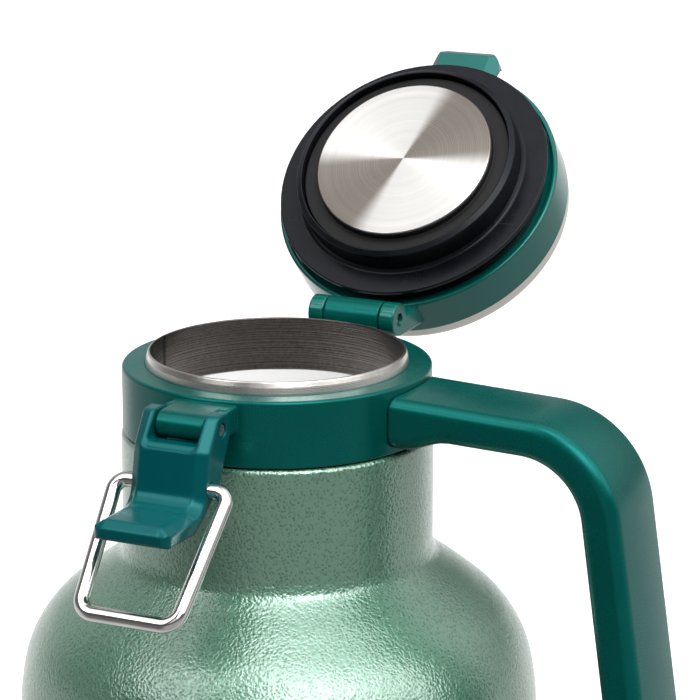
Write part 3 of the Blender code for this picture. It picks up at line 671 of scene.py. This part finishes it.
# ------------------------------------------------------------------ handle
def fillet_path(points, radii, n):
    out = [tuple(points[0])]
    for i in range(1, len(points) - 1):
        a, b, c = (Vector(points[k]) for k in (i - 1, i, i + 1))
        u, v = (a - b).normalized(), (c - b).normalized()
        half = 0.5 * math.acos(max(-1, min(1, u.dot(v))))
        r = radii[i - 1]
        centre = b + (u + v).normalized() * (r / math.sin(half))
        s, e = b + u * (r / math.tan(half)) - centre, b + v * (r / math.tan(half)) - centre
        a0, a1 = math.atan2(s[1], s[0]), math.atan2(e[1], e[0])
        d = (a1 - a0 + math.pi) % (2 * math.pi) - math.pi
        for k in range(n + 1):
            q = a0 + d * k / n
            out.append((centre[0] + r * math.cos(q), centre[1] + r * math.sin(q)))
    out.append(tuple(points[-1]))
    return out


def flare(x):
    k = max(0.0, min(1.0, (52.0 - x) / 12.0))
    return 3.2 * k * k * (3 - 2 * k)


low_out, low_in = HANDLE_LOW_Z - HANDLE_LOW_HALF, HANDLE_LOW_Z + HANDLE_LOW_HALF
outer = fillet_path([(33.0, -5.13), (93.93, -7.53), (117.1, low_out), (60.0, low_out)], [26.5, 24.0], 26)
inner = fillet_path([(33.0, -15.04), (84.81, -16.69), (104.5, low_in), (60.0, low_in)], [16.7, 14.5], 26)
root = (0, 4, 5, 6, 7, 8, 9, 10, 11, 12, 13, 14, 15.5, 17, 19, 21, 24)
left = [(33.0 + k, -5.13 - 0.0394 * k) for k in root] + outer[1:]
right = [(33.0 + k, -15.04 - 0.032 * k - flare(33.0 + k)) for k in root] + inner[1:]
CORNER_R, CROWN = 3.0, 0.7
section = []
for k, a0 in enumerate((0, 90, 180, 270)):
    for q in range(0, 91, 9):
        w = math.radians(a0 + q)
        section.append(((1, -1, -1, 1)[k] * (HANDLE_W / 2 - CORNER_R) + CORNER_R * math.cos(w),
                        (1, 1, -1, -1)[k], CORNER_R * math.sin(w)))
    if k in (0, 2):
        section += [((1 - 2 * q / 8) * (1, 0, -1)[k] * (HANDLE_W / 2 - CORNER_R), 1 - k, (1 - k) * CORNER_R) for q in range(1, 8)]
# the broad faces are slightly crowned
section = [(y, st, k + st * CROWN * (1 - (2 * y / HANDLE_W) ** 2) - st * CROWN * 0.5) for y, st, k in section]
rings = []
for (lx, lz), (rx, rz) in zip(left, right):
    mid = Vector(((lx + rx) / 2, 0, (lz + rz) / 2 + RIM))
    e = Vector(((lx - rx) / 2, 0, (lz - rz) / 2))
    h = e.length
    e = e / h
    rings.append([mid + Vector((0, y, 0)) + e * (st * (h - CORNER_R) + k) for y, st, k in section])
handle = temporary(skin(rings))
boolean(handle, rod('Z', (0, 0), COLLAR_R + GAP, RIM - 40, RIM + 20, 256), 'DIFFERENCE')
boolean(handle, rod('Z', (0, 0), BODY_R + 0.5, RIM - 190, RIM - 120, 256), 'DIFFERENCE')
for y in (-7.5, 7.5):
    boolean(handle, rod('X', (y, SCREW_Z), 2.05, 30.0, 53.0, 32), 'DIFFERENCE')
LOW = RIM + HANDLE_LOW_Z
boolean(handle, slab(rounded([(-7.9, LOW - 2.3), (7.9, LOW - 2.3), (7.9, LOW + 2.3), (-7.9, LOW + 2.3)], 0.4),
                     'X', 60.0, 77.6), 'DIFFERENCE')
boolean(handle, rod('Z', (72.5, 0), 3.5, LOW - 6.0, LOW - 3.3, 48), 'DIFFERENCE')
boolean(handle, rod('Z', (72.5, 0), 1.95, LOW - 6.0, LOW, 40), 'DIFFERENCE')
finish_piece(handle, 'side_handle', 'handle', 'flask', M_GREEN, 28)

screw = temporary(rod('Z', (72.5, 0), 1.65, LOW - 4.0, LOW + 1.7, 40, 0.2))
boolean(screw, rod('Z', (72.5, 0), 3.2, LOW - 4.25, LOW - 3.6, 48, 0.2), 'UNION')
boolean(screw, rod('Z', (72.5, 0), 1.2, LOW - 5.0, LOW - 3.8, 6), 'DIFFERENCE')
finish_piece(screw, 'handle_lower_screw', 'handle_screw_lower', 'flask', M_SCREW)

# ------------------------------------------------------------------ lid
cap = ([(0, 9.2)] + rounded([(0, 9.2), (35.2, 9.2), (35.2, 16.9), (39.3, 16.9), (39.3, 4.72), (38.05, 4.72),
                             (38.05, 6.9), (0, 6.9)], [0, 0.2, 0.25, 0.4, 0.9, 0.2, 0.2, 0], closed=False, step=8)[1:-1]
       + [(0, 6.9)])
lid_cap = temporary(turned(rel(cap)))
ear = ([(35.9, 13.5), (37.6, 12.6), (48.9, 2.3)] + arc(HINGE_Y, HINGE_Z, KNUCKLE_R, 30, -215, 44)
       + [(41.1, 2.24), (38.6, 4.4), (37.5, 5.6), (35.9, 6.2)])
for lo, hi in ((-HINGE_HALF, -8.1), (8.1, HINGE_HALF)):
    boolean(lid_cap, slab([(y, z + RIM) for y, z in ear], 'X', lo, hi, 0.5), 'UNION')
boolean(lid_cap, rod('X', (HINGE_Y, HINGE_Z + RIM), 1.75, -20, 20, 40), 'DIFFERENCE')
boolean(lid_cap, slab([(-11.6, RIM + 8.0), (11.6, RIM + 8.0), (11.6, RIM + 14.8), (-11.6, RIM + 14.8)], 'Y', -46.0, -37.7),
        'DIFFERENCE')
hook = [(-36.6, 8.0), (-36.6, 4.9), (-44.7, 4.9), (-47.3, 7.5), (-47.3, 13.1), (-46.9, 13.8), (-46.4, 13.9),
        (-45.95, 13.4), (-45.85, 10.6), (-45.2, 9.95), (-44.5, 9.7), (-40.4, 8.15)]
plan = [(-10.0, -36.4), (-10.0, -42.6), (-9.2, -45.0), (-6.6, -47.6), (6.6, -47.6), (9.2, -45.0), (10.0, -42.6), (10.0, -36.4)]
end = [(-10.0, 15.0), (-10.0, 7.6), (-7.2, 4.8), (7.2, 4.8), (10.0, 7.6), (10.0, 15.0)]
tab = temporary(slab([(y, z + RIM) for y, z in hook], 'X', -12, 12))
boolean(tab, slab(plan, 'Z', RIM + 2, RIM + 16), 'INTERSECT')
boolean(tab, slab([(x, z + RIM) for x, z in end], 'Y', -50.0, -36.0), 'INTERSECT')
bevel(tab, 0.4, 3, 24)
boolean(lid_cap, tab, 'UNION')
finish_piece(lid_cap, 'lid_ring', 'lid_cap', 'lid', M_LID, 28, LID_OPENING)

dome = spline([(0, 23.6), (14.0, 23.4), (27.0, 22.85), (35.4, 22.15)], 8) + arc(35.9, 19.25, 2.9, 80, 0, 10) + [(38.8, 17.2)]
under = [(37.6, 17.2)] + arc(35.6, 19.2, 2.0, 0, 80, 8) + list(reversed(
    spline([(0, 22.75), (14.0, 22.55), (27.0, 22.0), (35.2, 21.3)], 8)))
finish_piece(turned(rel(dome + under)), 'lid_steel_cover', 'lid_cover', 'lid', M_COVER, 30, LID_OPENING)

gasket = rounded([(29.0, 6.6), (29.0, -7.62), (30.7, -6.5), (30.7, -0.6), (31.4, 0.3), (37.7, 0.3), (37.7, 1.55), (35.6, 1.7),
                  (35.6, 6.6)], [0.1, 0.3, 0.35, 0.3, 1.2, 0.4, 0.25, 0.1, 0.1], step=9)
finish_piece(turned(rel(clean(gasket))), 'lid_seal', 'lid_gasket', 'lid', M_RUBBER, 30, LID_OPENING)
plug = ([(0, 6.6)] + rounded([(0, 6.6), (28.7, 6.6), (28.7, -5.4), (24.4, -5.4), (24.4, -7.0), (0, -7.0)],
                             [0, 0.2, 0.3, 0.3, 0.15, 0], closed=False, step=10)[1:-1] + [(0, -7.0)])
finish_piece(turned(rel(plug)), 'lid_plug_body', 'lid_plug', 'lid', M_BLACK, 30, LID_OPENING)
disc = ([(0, -7.3)] + rounded([(0, -7.3), (24.35, -7.3), (24.35, -8.1), (0, -8.1)], [0, 0.1, 0.35, 0], closed=False, step=10)[1:-1]
        + [(0, -8.1)])
finish_piece(turned(rel(disc)), 'lid_plug_disc', 'plug_disc', 'lid', M_DISC, 30, LID_OPENING)

# ------------------------------------------------------------------ latch
ear = [(-44.35, -9.2)] + arc(PIN_Y, PIN_Z, 4.2, -10, 66, 12)
proud = ear[:-1] + fillet_path([ear[-1], (-51.3, -3.75), (-57.0, -11.2), (-59.7, -24.4), (-74.35, -24.4), (-76.25, -26.3), (-76.25, -29.25),
                           (-62.4, -29.3), (-50.6, -21.4), (-44.35, -9.2)], [2.2, 3.0, 4.5, 1.1, 1.0, 0.9, 3.0, 0.8], 9)[:-1]
flank = ear[:-1] + fillet_path([ear[-1], (-50.3, -4.0), (-55.2, -12.0), (-57.9, -26.3), (-75.3, -26.3), (-76.0, -26.9), (-76.0, -29.25),
                           (-62.4, -29.3), (-50.6, -21.4), (-44.35, -9.2)], [1.8, 2.5, 6.0, 0.4, 0.4, 0.9, 3.0, 0.8], 9)[:-1]
into = inward(flank)


def lever_ring(x):
    a = abs(x)
    f = (a - LEVER_FLAT) / (LEVER_HALF - LEVER_FLAT) if a > 8.0 else max(0.0, a - 7.0) ** 2 / 2 / (LEVER_HALF - LEVER_FLAT)
    d = 0.35 - math.sqrt(max(0.0, 0.35 ** 2 - max(0.0, a - LEVER_HALF + 0.35) ** 2))
    return [(x, p[0] + (q[0] - p[0]) * f + v[0] * d, p[1] + (q[1] - p[1]) * f + v[1] * d + RIM)
            for p, q, v in zip(proud, flank, into)]


stations = [7.0, 7.25, 7.5, 7.75, 8.0, 9.0, LEVER_HALF - 0.35, LEVER_HALF - 0.2, LEVER_HALF - 0.08, LEVER_HALF]
lever = temporary(skin([lever_ring(-x) for x in reversed(stations)] + [lever_ring(x) for x in stations]))
for s in (-1, 1):
    corner = ([(s * 7.6, -80.0), (s * 7.6, -76.3)] + [(s * (7.6 + 2.65 * math.sin(math.radians(q))), -73.65 - 2.65 * math.cos(math.radians(q)))
              for q in range(10, 90, 10)] + [(s * 10.25, -73.65), (s * 14.0, -73.65), (s * 14.0, -80.0)])
    boolean(lever, slab(corner, 'Z', RIM - 40, RIM - 20), 'DIFFERENCE')
slot = rounded([(-40.0, -12.4), (-47.5, -12.2), (-49.5, -11.6), (-51.2, -10.6), (-62.0, -9.9), (-62.0, 6.0), (-40.0, 6.0)], [0, 1.0, 1.0, 0.8, 0, 0, 0])
boolean(lever, slab([(y, z + RIM) for y, z in slot], 'X', -6.75, 6.75, 0.9, 6), 'DIFFERENCE')
# broken edge round the slot's mouth, square to the ears' sloping front
tilt = Vector((0, -0.794, 0.608))
down = Vector((0, -0.608, -0.794))
origin = Vector((0, -57.0, -11.2))
rings = []
for depth, grow in ((0.3, 0.95), (-0.65, 0.0)):
    outline = rounded([(-6.75 - grow, -14.0), (-6.75 - grow, -0.35 + grow), (6.75 + grow, -0.35 + grow), (6.75 + grow, -14.0)],
                      [0, 1.6, 1.6, 0], step=12)
    rings.append([Vector((x, 0, 0)) + origin + down * s + tilt * depth + Vector((0, 0, RIM)) for x, s in outline])
boolean(lever, skin(rings), 'DIFFERENCE')
pocket = rounded([(-41.0, -13.6), (-50.4, -13.6), (-53.6, -14.4), (-55.6, -21.6), (-55.6, -23.2), (-51.0, -20.4), (-41.0, -20.4)],
                 [0, 0.5, 0.8, 0.4, 0.4, 0.5, 0])
boolean(lever, slab([(y, z + RIM) for y, z in pocket], 'X', -8.3, 8.3), 'DIFFERENCE')
boolean(lever, rod('X', (PIN_Y, PIN_Z + RIM), 1.75, -20, 20, 40), 'DIFFERENCE')
boolean(lever, rod('X', (BAIL_Y, BAIL_Z + RIM), 2.0, -20, 20, 48), 'DIFFERENCE')
finish_piece(lever, 'latch_lever_arm', 'latch_lever', 'lever', M_LEVER, 26)

wire = fillet_path([(-8.8, 0.0), (-BAIL_TOP_HALF, 0.0), (-BAIL_BAR_HALF, BAIL_LEN),
                    (BAIL_BAR_HALF, BAIL_LEN), (BAIL_TOP_HALF, 0.0), (8.8, 0.0)],
                   [3.2, 4.2, 4.2, 3.2], 14)
path = [Vector((x, BAIL_Y - math.sin(BAIL_TILT) * s, RIM + BAIL_Z - math.cos(BAIL_TILT) * s)) for x, s in wire]
across = Vector((0, -math.cos(BAIL_TILT), math.sin(BAIL_TILT)))
rings = []
for i, p in enumerate(path):
    along = (path[min(i + 1, len(path) - 1)] - path[max(i - 1, 0)]).normalized()
    m = along.cross(across).normalized()
    for grow, slide in ([(0.75, 0.0), (1.0, 0.3)] if i == 0 else [(1.0, -0.3), (0.75, 0.0)] if i == len(path) - 1 else [(1.0, 0.0)]):
        rings.append([p + along * slide + BAIL_R * grow * (math.cos(2 * math.pi * k / 28) * across + math.sin(2 * math.pi * k / 28) * m)
                      for k in range(28)])
finish_piece(skin(rings), 'wire_bail', 'bail', 'bail', M_WIRE, 35)

# pieces inside the flask keep their solids and take a finish
for node, mat in (('handle_screw_a', M_SCREW), ('handle_screw_b', M_SCREW), ('handle_bracket', M_BRACKET),
                  ('vacuum_seal', M_SEAL), ('getter', M_GETTER), ('lid_foam', M_FOAM)):
    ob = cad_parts[node]
    ob.data.materials.clear()
    ob.data.materials.append(mat)

# ------------------------------------------------------------------ stage
bm = bmesh.new()
bmesh.ops.create_circle(bm, cap_ends=True, radius=9.0, segments=96)
for v in bm.verts:
    v.co.z = -0.0003
mesh = bpy.data.meshes.new('floor')
bm.to_mesh(mesh)
bm.free()
floor = bpy.data.objects.new('floor', mesh)
bpy.context.scene.collection.objects.link(floor)
mat, t, s, where = material('floor', Roughness=0.8, Specular_IOR_Level=0.1)
t.link(t.mix(t.noise(where, 3.0, 2.0, 0.5), (0.86, 0.86, 0.855), (0.88, 0.88, 0.875)), s.inputs['Base Color'])
s.inputs['Emission Color'].default_value = (1.0, 1.0, 1.0, 1.0)
s.inputs['Emission Strength'].default_value = 0.30
mesh.materials.append(mat)
floor.visible_diffuse = False
floor.visible_glossy = False

# ------------------------------------------------------------------ light
world = bpy.data.worlds.new('studio')
bpy.context.scene.world = world
world.use_nodes = True
w = Tree(world.node_tree)
for n in list(world.node_tree.nodes):
    world.node_tree.nodes.remove(n)
sky = w.node('ShaderNodeTexCoord').outputs['Generated']
sx, sy, sz = split(w, sky)


def softbox(centre, width, height, soft, power, roll=0.0):
    """A bright rectangle far away, by its direction and half sizes in tangents."""
    c = Vector(centre).normalized()
    right_hand = Vector((0, 0, 1)).cross(c)
    right_hand = right_hand.normalized() if right_hand.length > 1e-4 else Vector((1, 0, 0))
    upward = c.cross(right_hand).normalized()
    turn = Matrix.Rotation(roll, 3, c)
    right_hand, upward = turn @ right_hand, turn @ upward
    ahead = w.vec('DOT_PRODUCT', sky, tuple(c))
    safe = w.math('MAXIMUM', ahead, 0.02)
    a = w.math('ABSOLUTE', w.math('DIVIDE', w.vec('DOT_PRODUCT', sky, tuple(right_hand)), safe))
    b = w.math('ABSOLUTE', w.math('DIVIDE', w.vec('DOT_PRODUCT', sky, tuple(upward)), safe))
    shape = w.math('MULTIPLY', w.ramp(a, width - soft, width + soft, 1.0, 0.0), w.ramp(b, height - soft, height + soft, 1.0, 0.0))
    shape = w.math('MULTIPLY', shape, w.ramp(ahead, 0.02, 0.1))
    return w.math('MULTIPLY', shape, power)


toward = w.vec('DOT_PRODUCT', sky, (0.434, -0.901, 0.0))
above = w.math('ADD', w.math('MULTIPLY', w.ramp(toward, -0.25, 0.25, 0.10, 0.0), w.ramp(sz, 0.12, 0.55, 1.0, 0.5)), 0.10)
table = w.ramp(toward, -0.10, 0.60, 0.76, 0.47)
table = w.math('ADD', table, w.ramp(toward, -0.88, -0.62, 0.60, 0.0))
left_dir = tuple(Vector((-0.74, 0.60, 0.30)).normalized())
above = w.math('ADD', above, w.ramp(w.vec('DOT_PRODUCT', sky, left_dir), math.cos(math.radians(42)), math.cos(math.radians(20)), 0.0, 0.38))
side_dir = tuple(Vector((0.62, 0.40, 0.68)).normalized())
above = w.math('ADD', above, w.ramp(w.vec('DOT_PRODUCT', sky, side_dir), math.cos(math.radians(52)), math.cos(math.radians(24)), 0.0, 0.75))
dark_dir = tuple(Vector((-0.52, -0.82, -0.25)).normalized())
table = w.math('SUBTRACT', table, w.ramp(w.vec('DOT_PRODUCT', sky, dark_dir), math.cos(math.radians(40)), math.cos(math.radians(14)), 0.0, 0.30))
low = w.ramp(sz, -0.05, 0.02, 1.0, 0.0)
total = w.math('ADD', w.math('MULTIPLY', above, w.math('SUBTRACT', 1.0, low)), w.math('MULTIPLY', table, low))
for args in (((0.22, -0.04, 0.975), 0.50, 0.50, 0.14, 1.2),
             ((0.12, -0.27, 0.955), 0.16, 0.16, 0.04, 4.5),
             ((-0.38, -0.22, 0.90), 0.30, 0.22, 0.06, 1.5),
             ((-0.28, -0.47, 0.835), 0.18, 0.10, 0.04, 3.4),
             ((0.40, -0.80, 0.45), 0.40, 0.16, 0.06, 0.85),
             ((0.80, 0.0, 0.56), 0.34, 0.26, 0.05, 2.3),
             ((0.50, -0.49, 0.715), 0.32, 0.27, 0.04, 6.0)):
    total = w.math('ADD', total, softbox(*args))
lit = w.node('ShaderNodeBackground')
w.link(total, lit.inputs['Strength'])
seen = w.node('ShaderNodeBackground')
seen.inputs['Color'].default_value = (0.97, 0.97, 0.97, 1.0)
path_kind = w.node('ShaderNodeLightPath')
both = w.node('ShaderNodeMixShader')
w.link(path_kind.outputs['Is Camera Ray'], both.inputs[0])
w.link(lit.outputs[0], both.inputs[1])
w.link(seen.outputs[0], both.inputs[2])
out = w.node('ShaderNodeOutputWorld')
w.link(both.outputs[0], out.inputs['Surface'])

lamp = bpy.data.lights.new('overhead', 'AREA')
lamp.shape = 'RECTANGLE'
lamp.size, lamp.size_y = 0.5, 0.4
lamp.energy = 1.8
lamp_ob = bpy.data.objects.new('overhead', lamp)
lamp_ob.location = (-0.42, -0.72, 0.85)
lamp_ob.rotation_mode = 'QUATERNION'
lamp_ob.rotation_quaternion = (Vector((0, 0, 0.2)) - lamp_ob.location).to_track_quat('-Z', 'Y')
bpy.context.scene.collection.objects.link(lamp_ob)
fill = bpy.data.lights.new('ceiling_fill', 'AREA')
fill.shape = 'RECTANGLE'
fill.size, fill.size_y = 0.7, 0.7
fill.energy = 7.5
fill_ob = bpy.data.objects.new('ceiling_fill', fill)
fill_ob.location = (0.10, -0.05, 1.15)
fill_ob.visible_glossy = False
bpy.context.scene.collection.objects.link(fill_ob)

view = bpy.context.scene.view_settings
view.view_transform = 'Standard'
view.look = 'None'

# ------------------------------------------------------------------ camera
AZ, EL = math.radians(25.76), math.radians(14.73)
right_axis = Vector((math.cos(AZ), math.sin(AZ), 0))
back_axis = Vector((math.sin(AZ) * math.cos(EL), -math.cos(AZ) * math.cos(EL), math.sin(EL)))
up_axis = back_axis.cross(right_axis)
cam = bpy.data.cameras.new('camera')
cam.lens = 163.954
cam.sensor_width = 36.0
cam.clip_start, cam.clip_end = 0.05, 50.0
cam_ob = bpy.data.objects.new('camera', cam)
cam_ob.matrix_world = Matrix.Translation((0.35277, -0.68897, 0.44101)) @ Matrix(
    (right_axis, up_axis, back_axis)).transposed().to_4x4()
bpy.context.scene.collection.objects.link(cam_ob)
bpy.context.scene.camera = cam_ob
